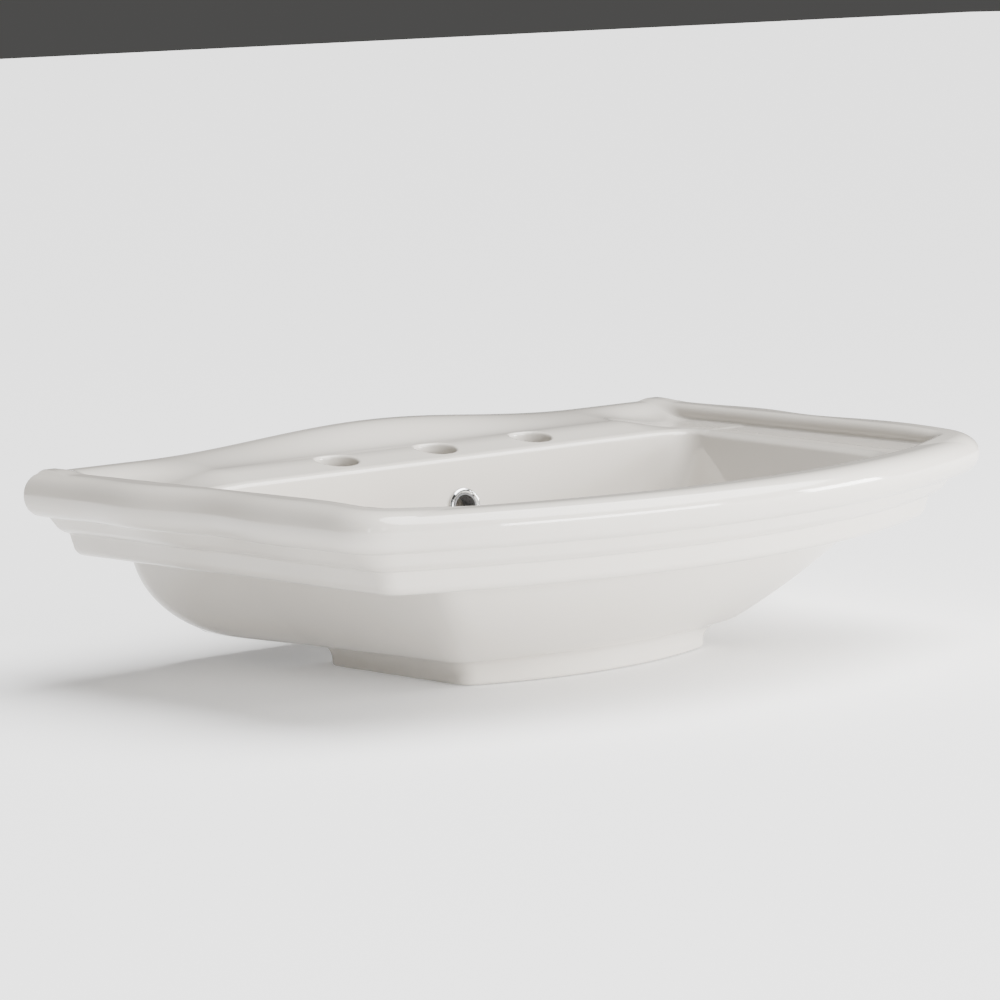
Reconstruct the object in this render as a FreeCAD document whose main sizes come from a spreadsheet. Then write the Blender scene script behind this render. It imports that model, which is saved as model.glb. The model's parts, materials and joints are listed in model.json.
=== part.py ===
import FreeCAD, Part
import math
import os

import Sketcher
from FreeCAD import Placement, Rotation, Vector

# Basin of a pedestal sink, with its overflow trim and a push-to-open waste.
# Millimetres. X runs along the wall, -Y is the user's side, +Z is up.
# The origin is below the middle of the bounding box, on the floor plane of the foot.
# "depth" is a distance out from the wall, "drop" is a distance down from the top of the rim,
# and "inset" is a distance in from the rim's outer edge.

DRIVING_SIZES = (
    # rim outline
    ("rim_width", 685.0),
    ("rim_front_width", 642.0),
    ("side_depth", 424.0),
    ("bow_depth", 94.5),
    ("side_wave", 5.5),
    ("rim_height", 170.0),
    ("crest_rise", 12.0),
    ("crest_half_width", 228.0),
    # rolled edge, mouldings and apron
    ("roll_radius", 18.0),
    ("roll_inner_radius", 9.0),
    ("ledge_inset", 37.0),
    ("ledge_drop", 13.3),
    ("upper_step_inset", 29.0),
    ("upper_step_drop", 53.0),
    ("lower_step_inset", 45.0),
    ("apron_drop", 72.0),
    ("step_radius", 8.0),
    # deck
    ("deck_depth", 136.0),
    ("deck_level_drop", 4.0),
    ("deck_fall_start", 80.0),
    ("deck_side_start", 205.0),
    ("deck_side_run", 75.0),
    ("faucet_depth", 99.0),
    ("faucet_spacing", 101.6),
    ("faucet_hole_radius", 17.5),
    ("faucet_hole_rounding", 4.5),
    # bowl: its mouth, the foot of its sloping walls and its floor
    ("mouth_back_width", 506.0),
    ("mouth_front_width", 442.0),
    ("mouth_corner_depth", 414.0),
    ("mouth_front_depth", 458.0),
    ("waist_back_width", 452.0),
    ("waist_front_width", 376.0),
    ("waist_corner_depth", 362.0),
    ("waist_front_depth", 408.0),
    ("floor_back_width", 344.0),
    ("floor_front_width", 276.0),
    ("floor_corner_depth", 312.0),
    ("floor_front_depth", 352.0),
    ("bowl_back_depth", 130.0),
    ("bowl_waist_drop", 66.0),
    ("bowl_floor_drop", 113.0),
    ("bowl_floor_run", 50.0),
    ("bowl_wall_tilt", 8.0),
    ("bowl_lip_radius", 6.0),
    ("drain_slope_drop", 5.0),
    ("china_wall", 12.0),
    # underbody: its widest outline under the apron and its flat bottom
    ("shoulder_back_width", 512.0),
    ("shoulder_front_width", 432.0),
    ("shoulder_corner_depth", 385.0),
    ("shoulder_front_depth", 431.0),
    ("bottom_back_width", 360.0),
    ("bottom_front_width", 288.0),
    ("bottom_corner_depth", 306.0),
    ("bottom_front_depth", 334.0),
    ("back_relief", 2.0),
    ("corner_profile_power", 1.15),
    ("underbody_shoulder_drop", 67.0),
    ("underbody_drop", 148.0),
    # foot
    ("foot_back_width", 270.0),
    ("foot_front_width", 252.0),
    ("foot_corner_depth", 291.0),
    ("foot_front_depth", 321.0),
    ("foot_back_depth", 122.0),
    ("foot_wall", 14.0),
    # space behind the bowl, open below
    ("rear_hollow_depth", 102.0),
    # fixings to the wall
    ("wall_bolt_spacing", 280.0),
    ("wall_bolt_drop", 95.0),
    ("wall_bolt_radius", 6.0),
    # overflow
    ("overflow_drop", 53.0),
    ("overflow_hole_radius", 12.0),
    ("duct_half_width", 18.0),
    ("duct_wall", 6.0),
    ("duct_back_depth", 117.0),
    ("duct_front_depth", 127.0),
    ("ring_radius", 15.7),
    ("ring_bore", 11.6),
    ("ring_height", 3.2),
    ("overflow_gasket_height", 0.8),
    ("sleeve_bore", 10.2),
    ("sleeve_length", 14.0),
    # waste
    ("waste_depth", 230.0),
    ("waste_hole_radius", 22.5),
    ("waste_recess_radius", 34.0),
    ("drain_slope_radius", 150.0),
    ("waste_boss_radius", 44.0),
    ("waste_thread_radius", 20.95),
    ("waste_bore", 17.4),
    ("waste_tail_radius", 19.4),
    ("waste_tail_length", 10.0),
    ("waste_length", 49.5),
    ("waste_flange_radius", 32.0),
    ("waste_throat_radius", 24.5),
    ("waste_flange_height", 3.0),
    ("waste_top_height", 52.0),
    ("slot_height", 36.0),
    ("slot_rise", 5.0),
    ("slot_half_width", 7.0),
    ("flange_gasket_height", 1.5),
    ("under_floor_height", 28.0),
    ("bottom_gasket_height", 5.0),
    ("slip_washer_height", 1.5),
    ("locknut_height", 8.0),
    ("locknut_flats", 54.0),
    # stopper and latch
    ("stopper_travel", 9.0),
    ("cap_radius", 29.5),
    ("cap_gap", 0.6),
    ("cap_rise", 4.6),
    ("seal_radius", 22.0),
    ("seal_height", 2.0),
    ("plunger_radius", 4.0),
    ("plunger_flange_radius", 5.3),
    ("plunger_flange_height", 2.9),
    ("rotor_height", 3.0),
    ("latch_radius", 6.5),
    ("latch_chamber_radius", 5.6),
    ("latch_neck_bore", 4.06),
    ("latch_bottom_height", 6.0),
    ("latch_base", 1.5),
    ("latch_chamber_height", 24.0),
    ("latch_length", 28.0),
    ("spring_radius", 4.6),
    ("spring_wire", 0.4),
    ("spring_turns", 6.0),
    ("boss_radius", 9.0),
    ("spider_height", 6.0),
    ("spider_drop", 13.0),
    ("arm_half_width", 3.0),
)

MOUTH = 1.0          # how far a cutting tool runs past the face that it opens
SETTLE = 0.1         # gap left between pieces that slide on each other

doc = FreeCAD.newDocument("pedestal_basin")
sizes = doc.addObject("Spreadsheet::Sheet", "sizes")
for row, (alias, number) in enumerate(DRIVING_SIZES, start=1):
    sizes.set(f"A{row}", alias)
    sizes.set(f"B{row}", str(number))
    sizes.setAlias(f"B{row}", alias)
doc.recompute()
size = {alias: float(sizes.get(alias)) for alias, _ in DRIVING_SIZES}

total_depth = size["side_depth"] + size["bow_depth"]
wall_y = total_depth / 2.0


def place(x, depth, drop):
    """A point from its distance out from the wall and down from the rim's top."""
    return Vector(x, wall_y - depth, size["rim_height"] - drop)


# ---------------------------------------------------------------- plan outlines

def plan(back, corner, corner_depth, front_depth, cut, start=0.0, wave=0.0, back_cut=0.0):
    """Half widths and depths of one plan outline: straight back, waved sides, bowed front."""
    return {
        "back": back, "corner": corner, "corner_depth": corner_depth, "front_depth": front_depth,
        "cut": cut, "start": start, "wave": wave, "back_cut": back_cut,
    }


def named_plan(name, cut, start, inset=0.0, back_cut=0.0):
    """The outline whose widths and depths the sheet holds under one name, moved in by an inset."""
    return plan(
        back=size[name + "_back_width"] / 2.0 - inset,
        corner=size[name + "_front_width"] / 2.0 - inset,
        corner_depth=size[name + "_corner_depth"] - inset,
        front_depth=size[name + "_front_depth"] - inset,
        cut=cut,
        start=start + inset,
        back_cut=back_cut,
    )


def bezier(poles):
    curve = Part.BezierCurve()
    curve.setPoles(poles)
    return curve.toShape()


def outline(shape, drop):
    """Closed wire of a plan outline at one height, always with the same eight or ten edges."""
    back, corner, corner_depth = shape["back"], shape["corner"], shape["corner_depth"]
    start, cut, back_cut = shape["start"], shape["cut"], shape["back_cut"]
    lean = (back - corner) / (corner_depth - start)
    bow = (shape["front_depth"] - corner_depth) / corner ** 2
    side_end = corner_depth - cut
    front_end = corner - cut
    front_end_depth = shape["front_depth"] - bow * front_end ** 2
    slope = 2.0 * bow * front_end
    tip = (corner + lean * (corner_depth - front_end_depth - slope * front_end)) / (1.0 - lean * slope)
    tip_depth = front_end_depth - slope * (tip - front_end)

    def side_half_width(depth):
        run = (depth - start) / (side_end - start)
        swell = math.sin(math.pi * run) ** 2 * math.cos(2.0 * math.pi * (depth - 131.0) / 205.0)
        return corner + lean * (corner_depth - depth) + shape["wave"] * swell

    side_start = start + back_cut
    if shape["wave"]:
        stations = [side_start + (side_end - side_start) * step / 16.0 for step in range(17)]
    else:
        stations = [side_start, side_end]
    right = [(side_half_width(depth), depth) for depth in stations]
    edges = []
    for side in (1.0, -1.0):
        run = [place(side * x, depth, drop) for x, depth in right]
        round_off = [place(side * x, depth, drop)
                     for x, depth in ((right[-1]), (tip, tip_depth), (front_end, front_end_depth))]
        if len(run) > 2:
            curve = Part.BSplineCurve()
            curve.interpolate(run)
            side_edge = curve.toShape()
        else:
            side_edge = Part.makeLine(*run)
        edges.append([side_edge, bezier(round_off)])
        if back_cut:
            first = right[0]
            heel = [place(side * x, depth, drop)
                    for x, depth in ((first[0] - back_cut, start), (first[0], start), first)]
            edges[-1].insert(0, bezier(heel))
    front = bezier([place(front_end, front_end_depth, drop),
                    place(0.0, shape["front_depth"] + bow * front_end ** 2, drop),
                    place(-front_end, front_end_depth, drop)])
    back_x = right[0][0] - back_cut
    back_line = Part.makeLine(place(-back_x, start, drop), place(back_x, start, drop))
    ordered = [back_line] + edges[0] + [front] + edges[1][::-1]
    return Part.Wire(Part.sortEdges(ordered)[0])


def stack(levels):
    """Solid with straight rulings between plan outlines given as (outline, drop), lowest first."""
    return Part.makeLoft([outline(shape, drop) for shape, drop in levels], True, True)


def rim_plan(inset, wave=None, start=0.0):
    """The rim's outline, moved in by an inset."""
    wave_here = size["side_wave"] if wave is None else wave
    return plan(
        back=size["rim_width"] / 2.0 - inset,
        corner=size["rim_front_width"] / 2.0 - inset,
        corner_depth=size["side_depth"] - 0.57 * inset,
        front_depth=total_depth - inset,
        cut=max(9.0, 27.0 - 0.45 * inset),
        start=start,
        wave=wave_here,
    )


def quarter(inset, drop, radius, first, last, steps=6):
    """Insets and drops along an arc about (inset, drop); angle 0 points outwards, 90 up."""
    for step in range(steps + 1):
        angle = math.radians(first + (last - first) * step / steps)
        yield inset - radius * math.cos(angle), drop - radius * math.sin(angle)


# ---------------------------------------------------------------- the china, piece by piece

def rim_and_mouldings():
    """Rolled edge, the two steps below it and the apron, as one block."""
    roll, round_off = size["roll_radius"], size["step_radius"]
    profile = list(quarter(size["lower_step_inset"] + round_off, size["apron_drop"] - round_off,
                           round_off, -90.0, 0.0))
    profile.append((size["lower_step_inset"] - 3.0, size["upper_step_drop"] + 1.0))
    profile += quarter(size["upper_step_inset"] + round_off, size["upper_step_drop"] - round_off,
                       round_off, -90.0, 0.0)
    profile.append((roll + 4.0, 2.0 * roll))
    profile += quarter(roll, roll, roll, -90.0, 90.0, steps=14)
    levels = []
    for inset, drop in profile:
        fade = min(1.0, max(0.15, (size["apron_drop"] - drop) / (size["apron_drop"] - 2.0 * roll)))
        levels.append((rim_plan(inset, size["side_wave"] * fade, -2.0 * MOUTH), drop))
    past_wall = box(size["rim_width"], -3.0 * MOUTH, 0.0, -2.0 * MOUTH, size["apron_drop"] + MOUTH)
    return stack(levels).cut(past_wall)


def ledge_recess():
    """The space behind the rolled edge, down to the ledge."""
    radius = size["roll_inner_radius"]
    levels = [(rim_plan(size["ledge_inset"], 0.0, -3.0 * MOUTH), size["ledge_drop"])]
    levels += [(rim_plan(inset, 0.0, -3.0 * MOUTH), drop) for inset, drop in
               quarter(size["ledge_inset"] - radius, radius, radius, 180.0, 90.0)]
    top_inset = size["ledge_inset"] - radius
    levels.append((rim_plan(top_inset, 0.0, -3.0 * MOUTH), -MOUTH))
    return stack(levels)


def deck_drop(x, depth):
    """How far the deck lies below the rim's top: a crest at the wall, a cove and a fall to the ledge."""
    reach = min(1.0, abs(x) / size["crest_half_width"])
    crest = size["crest_rise"] * math.cos(math.pi * reach / 2.0) ** 2
    cove = min(1.0, max(0.0, (depth - 12.0) / 68.0))
    ease = (1.0 - cove) ** 2 * (1.0 + 2.0 * cove)
    ahead = max(0.0, (depth - size["deck_fall_start"]) / (size["deck_depth"] - size["deck_fall_start"])) ** 2
    aside = min(1.0, max(0.0, (abs(x) - size["deck_side_start"]) / size["deck_side_run"]))
    aside = aside * aside * (3.0 - 2.0 * aside) * (1.0 - ease)
    under_ledge = size["ledge_drop"] + 0.6 - size["deck_level_drop"]
    fall = under_ledge * (ahead + aside - ahead * aside)
    return size["deck_level_drop"] * (1.0 - ease) + fall - crest * ease


def deck():
    """The faucet deck and the crest, lofted from wall to wall through upright sections."""
    half = size["rim_width"] / 2.0 - size["roll_radius"]
    base_drop = size["ledge_drop"] + 8.0
    edge_radius = 6.0
    sections = []
    for step in range(-8, 9):
        x = half * step / 8.0
        stations = [edge_radius, 12.0, 20.0, 30.0, 42.0, 56.0, 70.0, 84.0, 99.0, 115.0, size["deck_depth"]]
        crown = [place(x, depth, deck_drop(x, depth)) for depth in stations]
        top_curve = Part.BSplineCurve()
        top_curve.interpolate(crown)
        shoulder = deck_drop(x, edge_radius)
        heel = bezier([place(x, 0.0, shoulder + edge_radius), place(x, 0.0, shoulder), crown[0]])
        front = Part.makeLine(crown[-1], place(x, size["deck_depth"], base_drop))
        under = Part.makeLine(place(x, size["deck_depth"], base_drop), place(x, 0.0, base_drop))
        back = Part.makeLine(place(x, 0.0, base_drop), place(x, 0.0, shoulder + edge_radius))
        sections.append(Part.Wire([heel, top_curve.toShape(), front, under, back]))
    return Part.makeLoft(sections, True, False)


def blend(low, high, share):
    """Outline part of the way between two outlines."""
    return {key: low[key] + (high[key] - low[key]) * share for key in low}


def underbody_plan(spread, inset=0.0, corner_spread=None):
    """The underbody's outline: spread is 0 at its flat bottom and 1 under the apron.

    Its front corners may have a spread of their own.
    """
    relief = size["back_relief"]
    bottom = named_plan("bottom", 12.0, relief, back_cut=26.0)
    shoulder = named_plan("shoulder", 12.0, relief, back_cut=34.0)
    shape = blend(bottom, shoulder, spread)
    if corner_spread is not None:
        corners = blend(bottom, shoulder, corner_spread)
        shape["corner"], shape["corner_depth"] = corners["corner"], corners["corner_depth"]
    for key in ("back", "corner", "corner_depth", "front_depth"):
        shape[key] -= inset
    return shape


def underbody():
    """The tapering body below the apron: rounded sides, and front corners that run nearly straight."""
    top, bottom = size["underbody_shoulder_drop"], size["underbody_drop"]
    power = size["corner_profile_power"]
    levels = []
    for angle in (90.0, 78.0, 66.0, 54.0, 42.0, 30.0, 15.0, 0.0):
        spread, down = math.cos(math.radians(angle)), math.sin(math.radians(angle))
        corner_spread = (1.0 - down ** power) ** (1.0 / power)
        levels.append((underbody_plan(spread, 0.0, corner_spread), top + (bottom - top) * down))
    levels.append((underbody_plan(1.0), size["ledge_drop"] + 0.7 * size["china_wall"]))
    return stack(levels)


def foot_plan(inset, spur=0.0):
    """The foot's outline, moved in by an inset, with its front corners drawn out by a spur."""
    shape = named_plan("foot", 10.0, size["foot_back_depth"], inset, back_cut=9.0)
    shape["corner"] += spur
    shape["corner_depth"] += spur
    return shape


def foot():
    """The short collar that sits on the pedestal, flared where it meets the body."""
    rim = size["rim_height"]
    levels = [(foot_plan(3.0), rim), (foot_plan(1.0), rim - 1.2), (foot_plan(0.0), rim - 3.5),
              (foot_plan(-1.5, 2.0), rim - 14.0), (foot_plan(-4.5, 4.0), rim - 19.0),
              (foot_plan(-9.0, 8.0), size["underbody_drop"] - 2.0)]
    return stack(levels)


def foot_hollow():
    """The space inside the foot, deeper all round the thick boss that holds the waste."""
    rim, wall = size["rim_height"], size["foot_wall"]
    duct_half = size["duct_half_width"] + 6.0
    under_floor = rim - size["under_floor_height"]
    above = size["bowl_floor_drop"] - size["china_wall"]
    shallow = stack([(foot_plan(wall), rim + MOUTH), (foot_plan(wall), under_floor)])
    deep = stack([(foot_plan(wall + 2.0), under_floor + 4.0),
                  (foot_plan(wall + 8.0), under_floor - 15.0)])
    boss = bored(size["waste_boss_radius"], rim, above, 0.0, size["waste_depth"])
    rib = box(duct_half, size["rear_hollow_depth"] - wall, size["waste_depth"], above, rim)
    return shallow.fuse(deep.cut([boss, rib]))


def apron_hollow():
    """The space under the ledge, between the apron and the underbody."""
    wall = size["china_wall"]
    lowest = size["lower_step_inset"] + size["step_radius"] + wall
    return stack([(rim_plan(lowest, 0.0, wall), size["apron_drop"] + MOUTH),
                  (rim_plan(lowest - 6.0, 0.0, wall), size["upper_step_drop"]),
                  (rim_plan(lowest - 20.0, 0.0, wall), size["ledge_drop"] + wall + 6.0),
                  (rim_plan(lowest - 12.0, 0.0, wall), size["ledge_drop"] + wall)])


def bowl_plan(inset):
    """The bowl's mouth, with its edge moved in by an inset."""
    return named_plan("mouth", 38.0, size["bowl_back_depth"], inset, back_cut=32.0)


def bowl_waist(inset):
    """The bowl's outline where its sloping walls meet the curve of its floor."""
    tilt = math.tan(math.radians(size["bowl_wall_tilt"]))
    start = size["bowl_back_depth"] + tilt * (size["bowl_waist_drop"] - size["ledge_drop"])
    return named_plan("waist", 36.0, start, inset, back_cut=34.0)


def bowl_shell():
    """The china round the bowl's sloping walls, where they stand out past the underbody."""
    wall = size["china_wall"]
    return stack([(bowl_waist(-wall), size["bowl_waist_drop"] + wall),
                  (bowl_waist(-wall), size["bowl_waist_drop"]),
                  (bowl_plan(-wall), size["ledge_drop"] + 0.5 * wall)])


def bowl():
    """The bowl: a rounded mouth, sloping walls and a floor that curves up into them."""
    lip, mouth_drop = size["bowl_lip_radius"], size["ledge_drop"]
    waist_drop, floor = size["bowl_waist_drop"], size["bowl_floor_drop"]
    mouth, waist = bowl_plan(0.0), bowl_waist(0.0)
    bottom = named_plan("floor", 36.0, waist["start"] + size["bowl_floor_run"], back_cut=34.0)
    levels = []
    for angle in (90.0, 75.0, 60.0, 45.0, 30.0, 15.0, 0.0):
        turn = math.radians(angle)
        levels.append((blend(bottom, waist, math.cos(turn)),
                       waist_drop + (floor - waist_drop) * math.sin(turn)))
    for share in (0.75, 0.5, 0.25):
        levels.append((blend(mouth, waist, share), mouth_drop + (waist_drop - mouth_drop) * share))
    levels += [(bowl_plan(inset), drop) for inset, drop in
               quarter(-lip, mouth_drop + lip, lip, 180.0, 90.0, steps=4)]
    levels.append((bowl_plan(-lip), mouth_drop - 3.0))
    levels.append((bowl_plan(-lip), -size["crest_rise"] - MOUTH))
    return stack(levels)


def rear_hollow():
    """The space behind the bowl, open below, with the wall plate behind it."""
    wall, deep = size["china_wall"], size["rear_hollow_depth"]
    rows = (
        (size["rim_height"] + MOUTH, 0.0, deep),
        (size["underbody_drop"], 0.0, deep),
        (size["underbody_drop"] - 30.0, 0.72, deep + 12.0),
        (size["underbody_drop"] - 58.0, 0.95, deep + 18.0),
        (size["ledge_drop"] + wall, 1.0, deep + 16.0),
    )
    levels = []
    for drop, spread, front in rows:
        shape = underbody_plan(spread, wall)
        lean = (shape["back"] - shape["corner"]) / shape["corner_depth"]
        levels.append((plan(shape["back"], shape["back"] - lean * front, front - 2.0, front, 14.0,
                            wall, back_cut=28.0), drop))
    return stack(levels)


def box(x_half, near, far, high, low):
    """Block from depths near..far and drops high..low, centred on X = 0."""
    return Part.makeBox(2.0 * x_half, far - near, low - high, place(-x_half, far, low))


def bored(radius, low_drop, high_drop, x, depth):
    return Part.makeCylinder(radius, low_drop - high_drop, place(x, depth, low_drop))


def faucet_hole(x):
    """A faucet hole with a soft, rounded mouth in the glaze."""
    radius, rounding = size["faucet_hole_radius"], size["faucet_hole_rounding"]
    depth = size["faucet_depth"]
    surface = size["rim_height"] - deck_drop(x, depth)
    below_slab = size["ledge_drop"] + size["china_wall"] + 3.0
    hole = bored(radius, below_slab, -MOUTH - size["crest_rise"], x, depth)
    mouth = [(0.0, -rounding), (radius, -rounding)]
    for step in range(1, 7):
        angle = math.radians(90.0 * step / 6.0)
        mouth.append((radius + rounding * (1.0 - math.cos(angle)), -rounding + rounding * math.sin(angle)))
    mouth += [(radius + rounding, 3.0), (0.0, 3.0), (0.0, -rounding)]
    face = Part.Face(Part.makePolygon([Vector(r, 0.0, z) for r, z in mouth]))
    flare = face.revolve(Vector(), Vector(0, 0, 1), 360.0)
    flare.Placement = Placement(Vector(x, wall_y - depth, surface), Rotation(Vector(1, 0, 0), 5.0))
    return hole.fuse(flare)


def overflow_frame():
    """Placement of the overflow trim: its Z axis stands out of the bowl's back wall."""
    tilt = size["bowl_wall_tilt"]
    back = size["bowl_back_depth"]
    back += math.tan(math.radians(tilt)) * (size["overflow_drop"] - size["ledge_drop"])
    return Placement(place(0.0, back, size["overflow_drop"]), Rotation(Vector(1, 0, 0), 90.0 - tilt))


def overflow_duct():
    """The china round the overflow's passage, and the passage itself down to the waste's slot."""
    half, wall = size["duct_half_width"], size["duct_wall"]
    back, front = size["duct_back_depth"], size["duct_front_depth"]
    top = size["overflow_drop"] - 12.0
    slot_low = size["rim_height"] - size["slot_height"]
    slot_high = slot_low - size["slot_rise"]
    block = box(half + wall, back - wall, front + 1.0, top - 3.0,
                size["rim_height"] - size["under_floor_height"])
    shaft = box(half, back, front, top, slot_low + 2.0)
    channel = box(half - 8.0, back, size["waste_depth"], slot_high, slot_low + 2.0)
    return block, [shaft, channel]


def waste_opening():
    """The waste hole, the seat for its flange and the slope of the floor down to it."""
    rim, waste = size["rim_height"], size["waste_depth"]
    seat = size["waste_recess_radius"]
    flange_drop = rim - size["waste_top_height"]
    seat_drop = flange_drop + size["waste_flange_height"] + size["flange_gasket_height"]
    clear_of_floor = size["bowl_floor_drop"] - size["china_wall"]
    slope = Part.makeCone(seat, size["drain_slope_radius"], size["drain_slope_drop"],
                          place(0.0, waste, flange_drop))
    inside_bowl = box(140.0, 170.0, 345.0, clear_of_floor, flange_drop)
    return [bored(size["waste_hole_radius"], rim + MOUTH, clear_of_floor, 0.0, waste),
            bored(seat, seat_drop, clear_of_floor, 0.0, waste),
            slope.common(inside_bowl)]


def wall_bolt_hole(x):
    wall = size["china_wall"]
    return Part.makeCylinder(size["wall_bolt_radius"], 3.0 * wall,
                             place(x, 2.0 * wall, size["wall_bolt_drop"]), Vector(0, 1, 0))


def make_basin():
    """The whole casting. It is free-form, so it is built with Part's lofts and booleans."""
    upper = rim_and_mouldings().cut(ledge_recess())
    inside = stack([(rim_plan(size["roll_radius"]), size["ledge_drop"] + 8.0),
                    (rim_plan(size["roll_radius"]), -size["crest_rise"] - MOUTH)])
    upper = upper.fuse(deck().common(inside))
    upper = upper.cut(apron_hollow())
    china = upper.fuse([underbody(), foot(), bowl_shell()])
    china = china.cut([rear_hollow(), foot_hollow()])
    duct_block, tools = overflow_duct()
    china = china.fuse(duct_block)
    tools = [bowl()] + tools + waste_opening()
    overflow_hole = Part.makeCylinder(size["overflow_hole_radius"], 40.0, Vector(0, 0, -30.0))
    overflow_hole.Placement = overflow_frame()
    tools.append(overflow_hole)
    for x in (-size["faucet_spacing"], 0.0, size["faucet_spacing"]):
        tools.append(faucet_hole(x))
    for side in (-0.5, 0.5):
        tools.append(wall_bolt_hole(side * size["wall_bolt_spacing"]))
    for tool in tools:
        china = china.cut(tool)
    return max(china.Solids, key=lambda solid: solid.Volume)


basin = doc.addObject("Part::Feature", "basin")
basin.Label = "basin"
basin.Shape = make_basin()
basin.Placement = Placement(Vector(0, 0, 0), Rotation())
pieces = [basin]


# ---------------------------------------------------------------- turned pieces

def origin_item(body, role):
    return next(item for item in body.Origin.OriginFeatures if item.Role == role)


def new_body(name):
    body = doc.addObject("PartDesign::Body", name)
    body.Label = name
    pieces.append(body)
    return body


def attach(body, name, role):
    sketch = body.newObject("Sketcher::SketchObject", name)
    sketch.AttachmentSupport = (origin_item(body, role), [""])
    sketch.MapMode = "FlatFace"
    return sketch


def sum_of(terms):
    """The value of a signed sum of sheet cells and plain numbers."""
    return sum(sign * size[term] if isinstance(term, str) else sign * term for sign, term in terms)


def as_expression(terms):
    """Text of a signed sum of sheet cells and plain numbers."""
    parts = []
    for sign, term in terms:
        text = f"sizes.{term}" if isinstance(term, str) else str(term)
        parts.append(f"{'+' if sign > 0 else '-'} {text} * 1 mm")
    return " ".join(parts).lstrip("+ ")


def total(*terms):
    """A signed sum: names of cells or numbers, with a leading '-' on a name to subtract it."""
    signed = []
    for term in terms:
        if isinstance(term, str) and term.startswith("-"):
            signed.append((-1, term[1:]))
        elif isinstance(term, str):
            signed.append((1, term))
        else:
            signed.append((1 if term >= 0 else -1, abs(term)))
    return signed


def closed_profile(sketch, corners):
    """A closed run of lines whose corners are held from the origin by sheet expressions."""
    count = len(corners)
    spots = [Vector(sum_of(across), sum_of(up), 0.0) for across, up in corners]
    for index in range(count):
        sketch.addGeometry(Part.LineSegment(spots[index], spots[(index + 1) % count]), False)
    for index in range(count):
        sketch.addConstraint(Sketcher.Constraint("Coincident", index, 2, (index + 1) % count, 1))
    for index, (across, up) in enumerate(corners):
        for kind, terms, axis in (("DistanceX", across, -2), ("DistanceY", up, -1)):
            amount = sum_of(terms)
            if abs(amount) < 1e-9:
                sketch.addConstraint(Sketcher.Constraint("PointOnObject", index, 1, axis))
                continue
            number = sketch.addConstraint(Sketcher.Constraint(kind, -1, 1, index, 1, amount))
            sketch.setExpression(f"Constraints[{number}]", as_expression(terms))


def turned(name, corners, place_terms):
    """A piece turned about its own Z axis from a half profile of (radius, height) corners."""
    body = new_body(name)
    sketch = attach(body, name + "_profile", "XZ_Plane")
    closed_profile(sketch, corners)
    turn = body.newObject("PartDesign::Revolution", name + "_turn")
    turn.Profile = sketch
    turn.ReferenceAxis = (sketch, ["V_Axis"])
    turn.Angle = 360.0
    body.Tip = turn
    if place_terms is not None:
        stand(body, place_terms)
    return body


def stand(body, terms):
    """Sets a waste piece on the waste's axis, at a height bound to the sheet."""
    body.Placement = Placement(Vector(0.0, wall_y - size["waste_depth"], sum_of(terms)), Rotation())
    body.setExpression("Placement.Base.z", as_expression(terms))


def ringed(inner, outer, low, high):
    """Corners of a plain ring's half profile."""
    return [(inner, low), (outer, low), (outer, high), (inner, high)]


# overflow trim, standing out of the bowl's back wall
ring = turned("overflow_ring", [
    (total("ring_bore"), total("overflow_gasket_height")),
    (total("ring_radius"), total("overflow_gasket_height")),
    (total("ring_radius"), total("overflow_gasket_height", 1.0)),
    (total("ring_radius", -1.2), total("ring_height")),
    (total("ring_bore", 1.2), total("ring_height")),
    (total("ring_bore"), total("overflow_gasket_height", 1.0)),
], None)
overflow_gasket = turned("overflow_gasket", ringed(
    total("overflow_hole_radius", 0.4), total("ring_radius", -0.8),
    total(0), total("overflow_gasket_height")), None)
overflow_sleeve = turned("overflow_sleeve", [
    (total("sleeve_bore"), total(0)),
    (total("ring_bore"), total(0)),
    (total("ring_bore"), total("sleeve_length")),
    (total("ring_bore"), total("sleeve_length", 2.4)),
    (total("sleeve_bore"), total("sleeve_length", 2.4)),
], None)
for piece in (ring, overflow_gasket):
    piece.Placement = overflow_frame()
overflow_sleeve.Placement = overflow_frame().multiply(
    Placement(Vector(0, 0, -size["sleeve_length"]), Rotation()))

# waste body and what clamps it in the china; heights in its profile are from its lower end
waste_low = total("waste_top_height", "-waste_length")
waste_body = turned("waste_body", [
    (total("waste_bore"), total(0)),
    (total("waste_tail_radius", -0.6), total(0)),
    (total("waste_tail_radius"), total(0.8)),
    (total("waste_tail_radius"), total("waste_tail_length")),
    (total("waste_thread_radius", -0.7), total("waste_tail_length")),
    (total("waste_thread_radius"), total("waste_tail_length", 0.7)),
    (total("waste_thread_radius"), total("waste_length", "-waste_flange_height")),
    (total("waste_flange_radius"), total("waste_length", "-waste_flange_height")),
    (total("waste_flange_radius"), total("waste_length", -1.5)),
    (total("waste_flange_radius", -2.0), total("waste_length")),
    (total("waste_throat_radius"), total("waste_length")),
    (total("waste_throat_radius", -3.5), total("waste_length", -1.6)),
    (total("waste_bore"), total("waste_length", -3.5)),
], waste_low)
slot_sketch = attach(waste_body, "overflow_slot", "YZ_Plane")
slot_low = total("slot_height", -1.0, "-waste_top_height", "waste_length")
slot_high = total("slot_height", "slot_rise", 1.0, "-waste_top_height", "waste_length")
closed_profile(slot_sketch, [
    (total("-slot_half_width"), slot_low), (total("slot_half_width"), slot_low),
    (total("slot_half_width"), slot_high), (total("-slot_half_width"), slot_high)])
slots = waste_body.newObject("PartDesign::Pocket", "overflow_slots")
slots.Profile = slot_sketch
slots.Type = 1
slots.Midplane = True
waste_body.Tip = slots

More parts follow.
